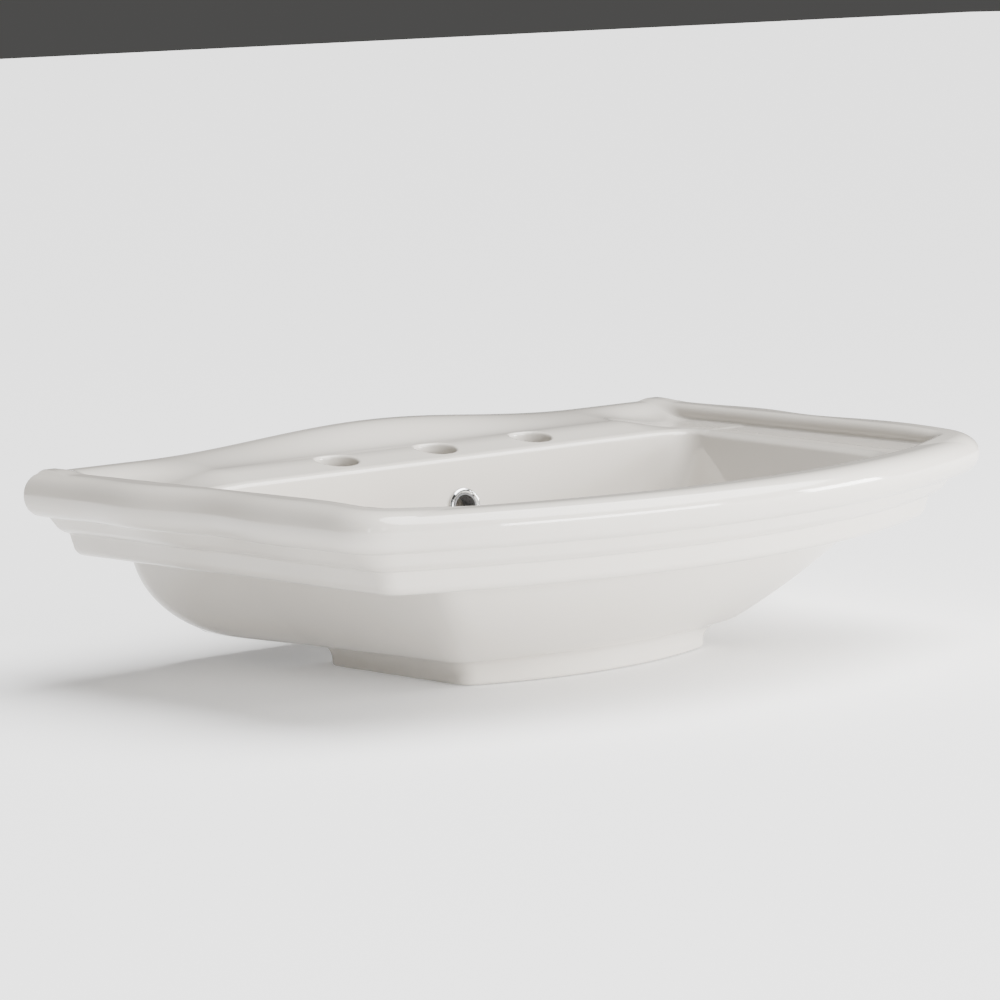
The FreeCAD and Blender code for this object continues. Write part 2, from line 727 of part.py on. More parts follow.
turned("flange_gasket", ringed(
    total("waste_thread_radius", 0.2), total("waste_flange_radius", -0.5),
    total(0), total("flange_gasket_height")),
    total("waste_top_height", "-waste_flange_height", "-flange_gasket_height"))
turned("bottom_gasket", [
    (total("waste_thread_radius"), total(0)),
    (total("waste_thread_radius", 9.5), total(0)),
    (total("waste_thread_radius", 9.5), total(2.0)),
    (total("waste_thread_radius", 5.0), total("bottom_gasket_height")),
    (total("waste_thread_radius"), total("bottom_gasket_height")),
], total("under_floor_height", "-bottom_gasket_height"))
turned("slip_washer", ringed(
    total("waste_thread_radius"), total("waste_thread_radius", 8.5), total(0), total("slip_washer_height")),
    total("under_floor_height", "-bottom_gasket_height", "-slip_washer_height"))

locknut = new_body("locknut")
nut_sketch = attach(locknut, "nut_profile", "XY_Plane")
corner_radius = size["locknut_flats"] / math.sqrt(3.0)
nut_corners = [Rotation(Vector(0, 0, 1), 60.0 * index).multVec(Vector(corner_radius, 0, 0))
               for index in range(6)]
for index in range(6):
    nut_sketch.addGeometry(Part.LineSegment(nut_corners[index], nut_corners[(index + 1) % 6]), False)
for index in range(6):
    nut_sketch.addConstraint(Sketcher.Constraint("Coincident", index, 2, (index + 1) % 6, 1))
guide = nut_sketch.addGeometry(Part.Circle(Vector(), Vector(0, 0, 1), corner_radius), True)
nut_sketch.addConstraint(Sketcher.Constraint("Coincident", guide, 3, -1, 1))
for index in range(6):
    nut_sketch.addConstraint(Sketcher.Constraint("PointOnObject", index, 1, guide))
for index in range(5):
    nut_sketch.addConstraint(Sketcher.Constraint("Equal", index, index + 1))
nut_sketch.addConstraint(Sketcher.Constraint("PointOnObject", 0, 1, -1))
nut_radius = nut_sketch.addConstraint(Sketcher.Constraint("Radius", guide, corner_radius))
nut_sketch.setExpression(f"Constraints[{nut_radius}]", "sizes.locknut_flats * 1 mm / sqrt(3)")
nut_pad = locknut.newObject("PartDesign::Pad", "nut_pad")
nut_pad.Profile = nut_sketch
nut_pad.Length = size["locknut_height"]
nut_pad.setExpression("Length", "sizes.locknut_height * 1 mm")
nut_bore_sketch = attach(locknut, "nut_bore", "XY_Plane")
bore_circle = nut_bore_sketch.addGeometry(
    Part.Circle(Vector(), Vector(0, 0, 1), size["waste_thread_radius"]), False)
nut_bore_sketch.addConstraint(Sketcher.Constraint("Coincident", bore_circle, 3, -1, 1))
bore_radius = nut_bore_sketch.addConstraint(
    Sketcher.Constraint("Radius", bore_circle, size["waste_thread_radius"]))
nut_bore_sketch.setExpression(f"Constraints[{bore_radius}]", "sizes.waste_thread_radius * 1 mm")
nut_hole = locknut.newObject("PartDesign::Pocket", "nut_hole")
nut_hole.Profile = nut_bore_sketch
nut_hole.Type = 1
nut_hole.Reversed = True
locknut.Tip = nut_hole
stand(locknut, total("under_floor_height", "-bottom_gasket_height", "-slip_washer_height",
                     "-locknut_height"))

# strainer cross, pressed into the waste body, with the latch screwed through its boss
strainer = turned("strainer", ringed(
    total("latch_radius"), total("boss_radius"), total(0), total("spider_height")),
    total("waste_top_height", "-waste_length", "spider_drop"))
arm_sketch = attach(strainer, "arm_profile", "XY_Plane")
closed_profile(arm_sketch, [
    (total("latch_radius", 0.6), total("-arm_half_width")), (total("waste_bore", -0.35), total("-arm_half_width")),
    (total("waste_bore", -0.35), total("arm_half_width")), (total("latch_radius", 0.6), total("arm_half_width"))])
arm = strainer.newObject("PartDesign::Pad", "arm")
arm.Profile = arm_sketch
arm.Length = size["spider_height"]
arm.setExpression("Length", "sizes.spider_height * 1 mm")
arms = strainer.newObject("PartDesign::PolarPattern", "arms")
arms.Originals = [arm]
arms.Axis = (arm_sketch, ["N_Axis"])
arms.Angle = 360.0
arms.Occurrences = 4
strainer.Tip = arms

latch_sleeve = turned("latch_sleeve", [
    (total(0), total(0)),
    (total("latch_radius"), total(0)),
    (total("latch_radius"), total("latch_length")),
    (total("latch_neck_bore"), total("latch_length")),
    (total("latch_neck_bore"), total("latch_chamber_height")),
    (total("latch_chamber_radius"), total("latch_chamber_height")),
    (total("latch_chamber_radius"), total("latch_base")),
    (total(0), total("latch_base")),
], total("latch_bottom_height"))

# stopper, shown lifted: it drops by its travel to close
flange_low = total("latch_bottom_height", "latch_chamber_height", "-plunger_flange_height", -SETTLE)
cap_low = total("waste_top_height", "cap_gap", "stopper_travel")
turned("plunger", [
    (total(0), total(0)),
    (total("plunger_flange_radius"), total(0)),
    (total("plunger_flange_radius"), total("plunger_flange_height")),
    (total("plunger_radius"), total("plunger_flange_height")),
    (total("plunger_radius"), cap_low + [(-sign, term) for sign, term in flange_low]),
    (total(0), cap_low + [(-sign, term) for sign, term in flange_low]),
], flange_low)
turned("latch_rotor", [
    (total(0), total(0)),
    (total("plunger_flange_radius", -1.0), total(0)),
    (total("plunger_flange_radius"), total(1.0)),
    (total("plunger_flange_radius"), total("rotor_height")),
    (total(0), total("rotor_height")),
], flange_low + [(-1, "rotor_height")])
turned("stopper_cap", [
    (total(0), total(0)),
    (total("cap_radius", -1.0), total(0)),
    (total("cap_radius"), total(1.0)),
    (total("cap_radius"), total(1.8)),
    (total("cap_radius", -1.5), total(2.8)),
    (total("cap_radius", -9.0), total("cap_rise", -0.7)),
    (total("cap_radius", -20.0), total("cap_rise")),
    (total(0), total("cap_rise")),
], cap_low)
turned("stopper_seal", [
    (total("plunger_radius", 4.0), total(0)),
    (total("seal_radius", -1.0), total(0)),
    (total("seal_radius"), total(1.0)),
    (total("seal_radius"), total("seal_height")),
    (total("plunger_radius", 4.0), total("seal_height")),
], cap_low + [(-1, "seal_height")])


def spring_coil():
    """The latch spring at its open length, from the chamber's floor to the rotor."""
    wire = size["spring_wire"]
    low = size["latch_bottom_height"] + size["latch_base"] + wire + SETTLE
    high = sum_of(flange_low) - size["rotor_height"] - wire - SETTLE
    pitch = (high - low) / size["spring_turns"]
    helix = Part.makeLongHelix(pitch, high - low, size["spring_radius"])
    start = Vector(size["spring_radius"], 0, 0)
    climb = Vector(0, 1, pitch / (2 * math.pi * size["spring_radius"]))
    section = Part.Wire(Part.makeCircle(wire, start, climb))
    coil = helix.makePipeShell([section], True, True)
    return coil, low


coil, coil_low = spring_coil()
latch_spring = doc.addObject("Part::Feature", "latch_spring")
latch_spring.Label = "latch_spring"
latch_spring.Shape = coil
latch_spring.Placement = Placement(Vector(0.0, wall_y - size["waste_depth"], coil_low), Rotation())
pieces.append(latch_spring)

# ---------------------------------------------------------------- checks and export

doc.recompute()
for item in doc.Objects:
    if "Invalid" in item.State or "Error" in item.State:
        raise RuntimeError(f"{item.Name} did not build: {item.State}")
os.makedirs("parts", exist_ok=True)
for piece in pieces:
    if piece.Shape.isNull() or not piece.Shape.isValid():
        raise RuntimeError(f"{piece.Label} has no valid shape")
    piece.Shape.exportStep(f"parts/{piece.Label}.step")
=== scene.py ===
import json
import math

import bpy
import numpy as np
from mathutils import Matrix, Vector

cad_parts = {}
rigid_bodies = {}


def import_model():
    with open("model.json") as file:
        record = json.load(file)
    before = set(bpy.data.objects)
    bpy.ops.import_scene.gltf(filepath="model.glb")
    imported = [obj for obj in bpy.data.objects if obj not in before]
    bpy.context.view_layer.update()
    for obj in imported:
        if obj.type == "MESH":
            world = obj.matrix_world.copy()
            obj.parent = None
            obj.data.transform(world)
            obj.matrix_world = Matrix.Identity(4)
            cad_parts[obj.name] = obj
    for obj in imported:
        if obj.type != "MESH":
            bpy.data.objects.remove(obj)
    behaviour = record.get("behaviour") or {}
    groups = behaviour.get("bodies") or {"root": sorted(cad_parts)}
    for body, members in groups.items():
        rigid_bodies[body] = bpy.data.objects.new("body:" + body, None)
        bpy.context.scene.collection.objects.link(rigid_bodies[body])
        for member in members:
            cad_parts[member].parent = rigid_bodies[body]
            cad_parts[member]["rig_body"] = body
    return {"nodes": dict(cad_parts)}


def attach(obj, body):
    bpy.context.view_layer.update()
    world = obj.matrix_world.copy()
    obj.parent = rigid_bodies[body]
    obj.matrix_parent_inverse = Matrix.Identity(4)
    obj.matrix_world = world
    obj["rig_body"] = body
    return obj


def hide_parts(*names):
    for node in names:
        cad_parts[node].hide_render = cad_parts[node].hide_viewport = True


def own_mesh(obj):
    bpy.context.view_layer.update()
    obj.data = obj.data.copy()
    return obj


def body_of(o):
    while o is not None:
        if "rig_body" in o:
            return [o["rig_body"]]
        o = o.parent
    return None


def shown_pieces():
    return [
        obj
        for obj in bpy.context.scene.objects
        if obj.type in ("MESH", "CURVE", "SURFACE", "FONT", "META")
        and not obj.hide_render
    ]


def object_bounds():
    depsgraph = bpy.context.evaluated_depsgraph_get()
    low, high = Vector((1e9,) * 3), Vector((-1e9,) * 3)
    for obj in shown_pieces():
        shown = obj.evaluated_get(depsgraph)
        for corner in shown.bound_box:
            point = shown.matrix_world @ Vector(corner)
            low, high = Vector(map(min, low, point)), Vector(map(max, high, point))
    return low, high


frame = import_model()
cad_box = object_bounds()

# Basin of a pedestal sink: a glazed china casting, its overflow trim and a push-to-open waste.
# The china's formulas are in millimetres: x from the middle, depth out from the wall,
# drop down from the top of the rim, and inset in from the rim's outer edge.

MM = 0.001
RIM_HEIGHT = 170.0
TOTAL_DEPTH = 1000.0 * (cad_box[1][1] - cad_box[0][1])
WALL_Y = TOTAL_DEPTH / 2.0
HALF_WIDTH = 1000.0 * (cad_box[1][0] - cad_box[0][0]) / 2.0
CELL = 2.0

# rim, mouldings, ledge and deck
ROLL = 18.0
FRONT_SAG = 5.0
LEDGE_INSET = 37.0
LEDGE_DROP = 13.3
APRON_DROP = 72.0
CREST_RISE = 12.0
CREST_HALF_WIDTH = 228.0
DECK_DROP = 4.0
DECK_DIP = 3.5
DECK_DEPTH = 150.0
FAUCET_DEPTH = 99.0
FAUCET_SPACING = 101.6
FAUCET_RADIUS = 17.5
# bowl, underbody and foot
WALL = 12.0
BOWL_BACK = 130.0
WAIST_DROP = 66.0
FLOOR_DROP = 113.0
BOWL_TILT = math.radians(8.0)
SHOULDER_DROP = 67.0
UNDERSIDE_DROP = 148.0
FOOT_WALL = 14.0
WASTE_DEPTH = 230.0
WASTE_RADIUS = 22.5
BOSS_RADIUS = 44.0
OVERFLOW_DROP = 53.0
OVERFLOW_RADIUS = 12.0
BOLT_X, BOLT_DROP, BOLT_RADIUS = 140.0, 95.0, 6.0


# ---------------------------------------------------------------- distances and outlines

def round_max(a, b, radius):
    """The larger of two distances, with the edge between them rounded to a radius."""
    inner = np.minimum(np.maximum(a, b), -radius)
    over_a = np.maximum(a + radius, 0.0)
    over_b = np.maximum(b + radius, 0.0)
    return inner + np.sqrt(over_a * over_a + over_b * over_b)


def round_min(a, b, radius):
    """The smaller of two distances, with the corner between them filled to a radius."""
    return -round_max(-a, -b, radius)


def corner_min(a, b, cut):
    """The smaller of two insets, with the corner cut off along a parabola."""
    near = np.maximum(cut - np.abs(a - b), 0.0) / cut
    return np.minimum(a, b) - near * near * cut / 4.0


def plan_inset(x, depth, sizes, cut, start=None, back_cut=1.0, swell=0.0):
    """How far in from a plan outline: straight back, leaning sides and a bowed front."""
    back, corner, corner_depth, front_depth = sizes
    lean = (back - corner) / (corner_depth - (start or 0.0))
    bow = (front_depth - corner_depth) / corner ** 2
    side = (corner + lean * (corner_depth - depth) + swell - x) / math.hypot(1.0, lean)
    front = (front_depth - bow * x * x - depth) / np.sqrt(1.0 + (2.0 * bow * x) ** 2)
    inset = corner_min(side, front, cut)
    if start is not None:
        inset = corner_min(inset, depth - start, back_cut)
    return inset


RIM = (HALF_WIDTH, 321.0, 424.0, TOTAL_DEPTH)
MOUTH = (253.0, 221.0, 414.0, 458.0)
WAIST = (226.0, 188.0, 362.0, 408.0)
SHOULDER = (256.0, 216.0, 385.0, 431.0)
UNDERSIDE = (180.0, 144.0, 306.0, 330.0)
CORNER_LEAN = (SHOULDER[2] - UNDERSIDE[2]) / (SHOULDER[1] - UNDERSIDE[1])
CORNER_SHIFT = CORNER_LEAN * (HALF_WIDTH - SHOULDER[1]) - (TOTAL_DEPTH - SHOULDER[2])
FOOT = (135.0, 126.0, 291.0, 321.0)


def rim_cut(x, depth):
    """How much of the rim's front corners is cut off: less and less towards the inside."""
    return np.clip(27.0 - 0.45 * plan_inset(x, depth, RIM, 20.0), 9.0, 27.0)


def side_wave(depth, drop):
    """The gentle swelling of the rim's sides, fading out down the mouldings."""
    run = np.clip(depth / 394.0, 0.0, 1.0)
    swell = 5.5 * np.sin(math.pi * run) ** 2 * np.cos(2.0 * math.pi * (depth - 131.0) / 205.0)
    return swell * np.clip((APRON_DROP - drop) / 36.0, 0.15, 1.0)


# ---------------------------------------------------------------- the china's shape

def moulding_step(inset, drop, top, bottom, low):
    """A block behind a slanting fascia, with its lower edge rounded."""
    across, down = bottom[0] - top[0], bottom[1] - top[1]
    fascia = ((top[0] - inset) * down + (drop - top[1]) * across) / math.hypot(across, down)
    return np.maximum(round_max(fascia, drop - low, 8.0), ROLL - drop)


def mouldings(inset, depth, drop):
    """Rolled edge, lower towards the front, the two steps below it and the apron, as one block."""
    sag = FRONT_SAG * np.clip((depth - 330.0) / 110.0, 0.0, 1.0) ** 2
    out = np.maximum(ROLL - inset, 0.0)
    rise = np.where(drop < ROLL, (drop - ROLL) * ROLL / (ROLL - sag), drop - ROLL)
    roll = np.sqrt(out * out + rise * rise) - ROLL
    upper = moulding_step(inset, drop, (22.0, 36.0), (29.0, 45.0), 53.0)
    lower = moulding_step(inset, drop, (42.0, 54.0), (45.0, 64.0), APRON_DROP)
    return round_min(round_min(roll, upper, 0.7), lower, 0.7)


def deck_drop(x, depth):
    """How far the deck lies below the rim's top: a crest at the wall, a cove and a fall to the ledge."""
    crest = CREST_RISE * np.cos(math.pi * np.minimum(1.0, x / CREST_HALF_WIDTH) / 2.0) ** 2
    cove = np.clip((depth - 12.0) / 68.0, 0.0, 1.0)
    ease = (1.0 - cove) ** 2 * (1.0 + 2.0 * cove)
    ahead = np.minimum(np.maximum(depth - 80.0, 0.0) / 54.0, 1.0) ** 2
    aside = np.clip((x - 205.0) / 75.0, 0.0, 1.0)
    aside = aside * aside * (3.0 - 2.0 * aside) * (1.0 - ease)
    level = LEDGE_DROP + DECK_DIP - DECK_DROP
    return DECK_DROP * (1.0 - ease) + level * (ahead + aside - ahead * aside) - crest * ease


def deck(x, depth, drop, rim):
    """The deck behind the bowl, which carries the faucet and rises to the crest."""
    slope = deck_drop(x, depth + 0.5) - deck_drop(x, depth - 0.5)
    top = (deck_drop(x, depth) - drop) / np.sqrt(1.0 + slope * slope)
    solid = round_max(top, depth - DECK_DEPTH, 4.5)
    return np.maximum(np.maximum(solid, drop - LEDGE_DROP - 8.0), ROLL + 2.0 - rim)


def bowl_air(x, depth, drop, from_waste):
    """The space in the bowl: sloping walls that turn in to a floor falling to the waste."""
    mouth = plan_inset(x, depth, MOUTH, 30.0, BOWL_BACK, 20.0)
    back = BOWL_BACK + math.tan(BOWL_TILT) * (WAIST_DROP - LEDGE_DROP)
    waist = plan_inset(x, depth, WAIST, 36.0, back, 34.0)
    slope = (waist - mouth) / (WAIST_DROP - LEDGE_DROP)
    wall = -(mouth + slope * (drop - LEDGE_DROP)) / np.sqrt(1.0 + slope * slope)
    fall = 5.0 * np.clip((150.0 - from_waste) / 116.0, 0.0, 1.0)
    return round_max(wall, drop - FLOOR_DROP - fall, 46.0)


def past_corner(x, depth):
    """How far a point lies behind the line of the underbody's front corners, along its side."""
    return TOTAL_DEPTH - depth - CORNER_LEAN * (HALF_WIDTH - x) + CORNER_SHIFT


def foot(x, depth, drop, corner):
    """The short collar that sits on the pedestal, flared where it meets the body above."""
    inset = plan_inset(x, depth, FOOT, 10.0, 122.0, 9.0)
    flare = (11.0 + 7.0 * corner) * (1.0 - np.clip((drop - 144.0) / 20.0, 0.0, 1.0)) ** 2
    solid = round_max(-(inset + flare), drop - RIM_HEIGHT, 3.0)
    return inset, np.maximum(solid, 120.0 - drop)


def carve_below(china, x, depth, drop, low, high, power, foot_inset, from_waste):
    """Opens the space behind the bowl and the hollow in the foot, round the waste's boss."""
    down = np.clip((drop - SHOULDER_DROP) / (UNDERSIDE_DROP - SHOULDER_DROP), 0.0, 1.0)
    spread = (1.0 - down ** power) ** (1.0 / power)
    rear = round_max(WALL - (low + (high - low) * spread), WALL - depth, 16.0)
    reach = np.interp(drop, (LEDGE_DROP + WALL, 90.0, 118.0, UNDERSIDE_DROP),
                      (118.0, 120.0, 114.0, 102.0))
    rear = round_max(round_max(rear, depth - reach, 8.0), LEDGE_DROP + WALL - drop, 10.0)
    china = round_max(china, -rear, 4.0)
    hollow = round_max(FOOT_WALL - foot_inset, 142.0 - drop, 6.0)
    pocket = round_max(FOOT_WALL + 4.0 - foot_inset, 127.0 - drop, 6.0)
    pocket = round_max(pocket, BOSS_RADIUS - from_waste, 4.0)
    pocket = round_max(pocket, -np.maximum(x - 24.0, depth - WASTE_DEPTH), 4.0)
    return round_max(china, -np.minimum(hollow, pocket), 4.0)


def box_distance(x, depth, drop, half, depths, drops):
    """Distance to a box across the middle, from its half width and its two depths and drops."""
    middle_depth, middle_drop = sum(depths) / 2.0, sum(drops) / 2.0
    along = np.abs(depth - middle_depth) - (depths[1] - depths[0]) / 2.0
    down = np.abs(drop - middle_drop) - (drops[1] - drops[0]) / 2.0
    return np.maximum(np.maximum(x - half, along), down)


def overflow_back(drop):
    """Depth of the bowl's back wall at a drop."""
    return BOWL_BACK + math.tan(BOWL_TILT) * (drop - LEDGE_DROP)


def drill(china, x, depth, drop, from_waste):
    """Cuts the overflow, waste, faucet and wall bolt holes, each with a soft glazed edge."""
    along = ((depth - overflow_back(OVERFLOW_DROP)) * math.cos(BOWL_TILT)
             - (drop - OVERFLOW_DROP) * math.sin(BOWL_TILT))
    up = ((depth - overflow_back(OVERFLOW_DROP)) * math.sin(BOWL_TILT)
          + (drop - OVERFLOW_DROP) * math.cos(BOWL_TILT))
    overflow = np.maximum(np.hypot(x, up) - OVERFLOW_RADIUS, np.abs(along + 8.0) - 20.0)
    china = round_max(china, -overflow, 1.5)
    seat = np.maximum(from_waste - 34.0, drop - 122.5)
    china = round_max(china, -seat, 1.2)
    china = round_max(china, WASTE_RADIUS - from_waste, 1.2)
    for centre in (0.0, FAUCET_SPACING):
        hole = np.hypot(x - centre, depth - FAUCET_DEPTH) - FAUCET_RADIUS
        china = round_max(china, -np.maximum(hole, drop - LEDGE_DROP - WALL - 3.0), 2.5)
    bolt = np.maximum(np.hypot(x - BOLT_X, drop - BOLT_DROP) - BOLT_RADIUS, depth - 30.0)
    return round_max(china, -bolt, 1.2)


def china_distance(x, depth, drop):
    """Distance to the china's surface, negative inside it."""
    x = np.abs(x)
    cut = rim_cut(x, depth)
    rim = plan_inset(x, depth, RIM, cut)
    from_waste = np.hypot(x, depth - WASTE_DEPTH)
    waved = plan_inset(x, depth, RIM, cut, swell=side_wave(depth, drop))
    china = mouldings(waved, depth, drop)
    recess = round_max(LEDGE_INSET - rim, drop - LEDGE_DROP, 3.0)
    china = round_max(china, -recess, 9.0)
    lean = 20.0 / 42.0
    inner = (45.0 + (drop - 31.0) * lean - rim) / math.hypot(1.0, lean)
    space = round_max(inner, LEDGE_DROP + WALL - drop, 10.0)
    china = round_max(china, -round_max(space, WALL - depth, 8.0), 4.0)
    china = round_min(china, deck(x, depth, drop, rim), 7.0)
    bowl = bowl_air(x, depth, drop, from_waste)
    shell = np.maximum(bowl - WALL, 19.0 - drop)
    low = plan_inset(x, depth, UNDERSIDE, 12.0, 0.0, 26.0)
    high = plan_inset(x, depth, SHOULDER, 12.0, 0.0, 34.0)
    run = past_corner(x, depth)
    corner = np.exp(-(run / 85.0) ** 2)
    front = np.exp(-(np.maximum(run, 0.0) / 60.0) ** 2)
    ahead = np.clip((depth - 20.0) / 140.0, 0.0, 1.0)
    power = 2.0 - 0.65 * ahead * ahead * (3.0 - 2.0 * ahead)
    power = power + (1.15 - power) * front
    out = np.maximum(-low / np.maximum(high - low, 20.0), 1e-6)
    down = np.maximum((drop - SHOULDER_DROP) / (UNDERSIDE_DROP - SHOULDER_DROP), 1e-6)
    body = ((out ** power + down ** power) ** (1.0 / power) - 1.0) * 70.0
    body = np.maximum(body, 21.7 - drop)
    china = round_min(china, round_min(shell, body, 10.0), 8.0)
    foot_inset, collar = foot(x, depth, drop, corner)
    china = round_min(china, collar, 5.0)
    china = carve_below(china, x, depth, drop, low, high, power, foot_inset, from_waste)
    duct = box_distance(x, depth, drop, 24.0, (111.0, 130.0), (38.0, 142.0))
    china = round_min(china, duct, 4.0)
    shaft = box_distance(x, depth, drop, 18.0, (117.0, 127.0), (41.0, 136.0))
    channel = box_distance(x, depth, drop, 10.0, (117.0, WASTE_DEPTH), (129.0, 136.0))
    china = np.maximum(china, -np.minimum(shaft, channel))
    china = round_max(china, -bowl, 6.0)
    china = drill(china, x, depth, drop, from_waste)
    return round_max(china, -depth, 3.0)


# ---------------------------------------------------------------- mesh of the china

CORNERS = [(i, j, k) for i in (0, 1) for j in (0, 1) for k in (0, 1)]
EDGES = [(a, b) for a in range(8) for b in range(a + 1, 8)
         if sum(p != q for p, q in zip(CORNERS[a], CORNERS[b])) == 1]


def surface_net(value):
    """Vertices in cell units and quads of the zero surface of a grid of distances."""
    counts = [n - 1 for n in value.shape]
    views = [value[i:i + counts[0], j:j + counts[1], k:k + counts[2]] for i, j, k in CORNERS]
    crossed = (np.minimum.reduce(views) < 0.0) & (np.maximum.reduce(views) >= 0.0)
    cells = np.argwhere(crossed)
    at_corner = np.stack([view[crossed] for view in views], axis=1)
    total = np.zeros((len(cells), 3))
    hits = np.zeros((len(cells), 1))
    for a, b in EDGES:
        cut = (at_corner[:, a] < 0.0) != (at_corner[:, b] < 0.0)
        share = at_corner[:, a] / np.where(cut, at_corner[:, a] - at_corner[:, b], 1.0)
        first, last = np.array(CORNERS[a], float), np.array(CORNERS[b], float)
        total += cut[:, None] * (first + share[:, None] * (last - first))
        hits += cut[:, None]
    number = np.full(counts, -1, np.int64)
    number[crossed] = np.arange(len(cells))
    quads = []
    for axis in range(3):
        u, v = (axis + 1) % 3, (axis + 2) % 3
        low, high = [slice(None)] * 3, [slice(None)] * 3
        low[axis], high[axis] = slice(0, -1), slice(1, None)
        starts_in = value[tuple(low)] < 0.0
        ends_in = value[tuple(high)] < 0.0
        for flipped in (False, True):
            hit = (starts_in & ~ends_in) if not flipped else (~starts_in & ends_in)
            where = np.argwhere(hit)
            where = where[(where[:, u] > 0) & (where[:, v] > 0)
                          & (where[:, u] < counts[u]) & (where[:, v] < counts[v])]
            ring = []
            for du, dv in ((-1, -1), (0, -1), (0, 0), (-1, 0)):
                cell = where.copy()
                cell[:, u] += du
                cell[:, v] += dv
                ring.append(number[cell[:, 0], cell[:, 1], cell[:, 2]])
            ring = np.stack(ring, axis=1)
            quads.append(ring[:, ::-1] if flipped else ring)
    return cells + total / hits, np.concatenate(quads)


def slopes(points, step=0.25):
    """Gradient of the china's distance at points, by differences."""
    result = np.empty_like(points)
    for axis in range(3):
        shift = np.zeros(3)
        shift[axis] = step
        ahead, behind = points + shift, points - shift
        result[:, axis] = (china_distance(*ahead.T) - china_distance(*behind.T)) / (2.0 * step)
    return result


def china_mesh():
    """The china as a closed mesh whose points and normals come from its distance formula."""
    x = np.arange(0.0, HALF_WIDTH + 2.0 * CELL, CELL, dtype=np.float32)
    depth = np.arange(-2.0 * CELL, TOTAL_DEPTH + 2.0 * CELL, CELL, dtype=np.float32)
    drop = np.arange(-CREST_RISE - 2.0 * CELL, RIM_HEIGHT + 2.0 * CELL, CELL, dtype=np.float32)
    half = china_distance(x[:, None, None], depth[None, :, None], drop[None, None, :])
    value = np.concatenate([half[:0:-1], half])
    points, quads = surface_net(value)
    points = points * CELL + np.array([-x[-1], depth[0], drop[0]])
    for _ in range(2):
        slope = slopes(points)
        length = np.maximum((slope ** 2).sum(axis=1), 0.25)
        move = china_distance(*points.T) / length
        points -= np.clip(move, -0.6, 0.6)[:, None] * slope
    slope = slopes(points)
    normals = slope / np.linalg.norm(slope, axis=1)[:, None]
    places = np.stack([points[:, 0], WALL_Y - points[:, 1], RIM_HEIGHT - points[:, 2]], axis=1) * MM
    normals[:, 1:] *= -1.0
    mesh = bpy.data.meshes.new("china")
    mesh.vertices.add(len(places))
    mesh.vertices.foreach_set("co", places.astype(np.float32).ravel())
    mesh.loops.add(4 * len(quads))
    mesh.loops.foreach_set("vertex_index", quads.astype(np.int32).ravel())
    mesh.polygons.add(len(quads))
    mesh.polygons.foreach_set("loop_start", np.arange(0, 4 * len(quads), 4, dtype=np.int32))
    mesh.update(calc_edges=True)
    mesh.polygons.foreach_set("use_smooth", np.ones(len(quads), bool))
    mesh.normals_split_custom_set_from_vertices(normals.astype(np.float32))
    return mesh


def show(name, mesh, node, place=(0.0, 0.0, 0.0), tilt=0.0):
    """Puts a mesh in the scene in place of a CAD node, moving with that node's body."""
    piece = bpy.data.objects.new(name, mesh)
    bpy.context.scene.collection.objects.link(piece)
    piece.location = Vector(place) * MM
    piece.rotation_euler = (tilt, 0.0, 0.0)
    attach(piece, body_of(frame["nodes"][node])[0])
    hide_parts(node)
    return piece


def smooth_mesh(name, spots, faces, material):
    """A smooth-shaded mesh from points in millimetres."""
    mesh = bpy.data.meshes.new(name)
    mesh.from_pydata((spots.reshape(-1, 3) * MM).tolist(), [], faces)
    mesh.polygons.foreach_set("use_smooth", np.ones(len(faces), bool))
    mesh.materials.append(material)
    return mesh


# ---------------------------------------------------------------- materials

def new_material(name, colour, metallic=0.0, roughness=0.4):
    material = bpy.data.materials.new(name)
    material.use_nodes = True
    shader = material.node_tree.nodes["Principled BSDF"]
    shader.inputs["Base Color"].default_value = (*colour, 1.0)
    shader.inputs["Metallic"].default_value = metallic
    shader.inputs["Roughness"].default_value = roughness
    return material, material.node_tree, shader


def noise(tree, scale, detail=3.0, squash=(1.0, 1.0, 1.0)):
    """A noise texture over the object's own coordinates, in metres."""
    place = tree.nodes.new("ShaderNodeTexCoord")
    stretch = tree.nodes.new("ShaderNodeMapping")
    stretch.inputs["Scale"].default_value = squash
    texture = tree.nodes.new("ShaderNodeTexNoise")
    texture.inputs["Scale"].default_value = scale
    texture.inputs["Detail"].default_value = detail
    tree.links.new(place.outputs["Object"], stretch.inputs["Vector"])
    tree.links.new(stretch.outputs["Vector"], texture.inputs["Vector"])
    return texture.outputs["Fac"]


def spread_to(tree, source, low, high):
    """Maps a texture's middle range to low..high."""
    node = tree.nodes.new("ShaderNodeMapRange")
    node.inputs["From Min"].default_value = 0.3
    node.inputs["From Max"].default_value = 0.7
    node.inputs["To Min"].default_value = low
    node.inputs["To Max"].default_value = high
    tree.links.new(source, node.inputs["Value"])
    return node.outputs["Result"]


def tint(tree, source, first, second):
    """Blends two colours by a texture's middle range."""
    ramp = tree.nodes.new("ShaderNodeValToRGB")
    ramp.color_ramp.elements[0].position = 0.3
    ramp.color_ramp.elements[0].color = (*first, 1.0)
    ramp.color_ramp.elements[1].position = 0.7
    ramp.color_ramp.elements[1].color = (*second, 1.0)
    tree.links.new(source, ramp.inputs["Fac"])
    return ramp.outputs["Color"]


def math_node(tree, operation, first, second):
    """A maths node on two sockets, or on a socket and a number."""
    node = tree.nodes.new("ShaderNodeMath")
    node.operation = operation
    tree.links.new(first, node.inputs[0])
    if isinstance(second, float):
        node.inputs[1].default_value = second
    else:
        tree.links.new(second, node.inputs[1])
    return node.outputs["Value"]


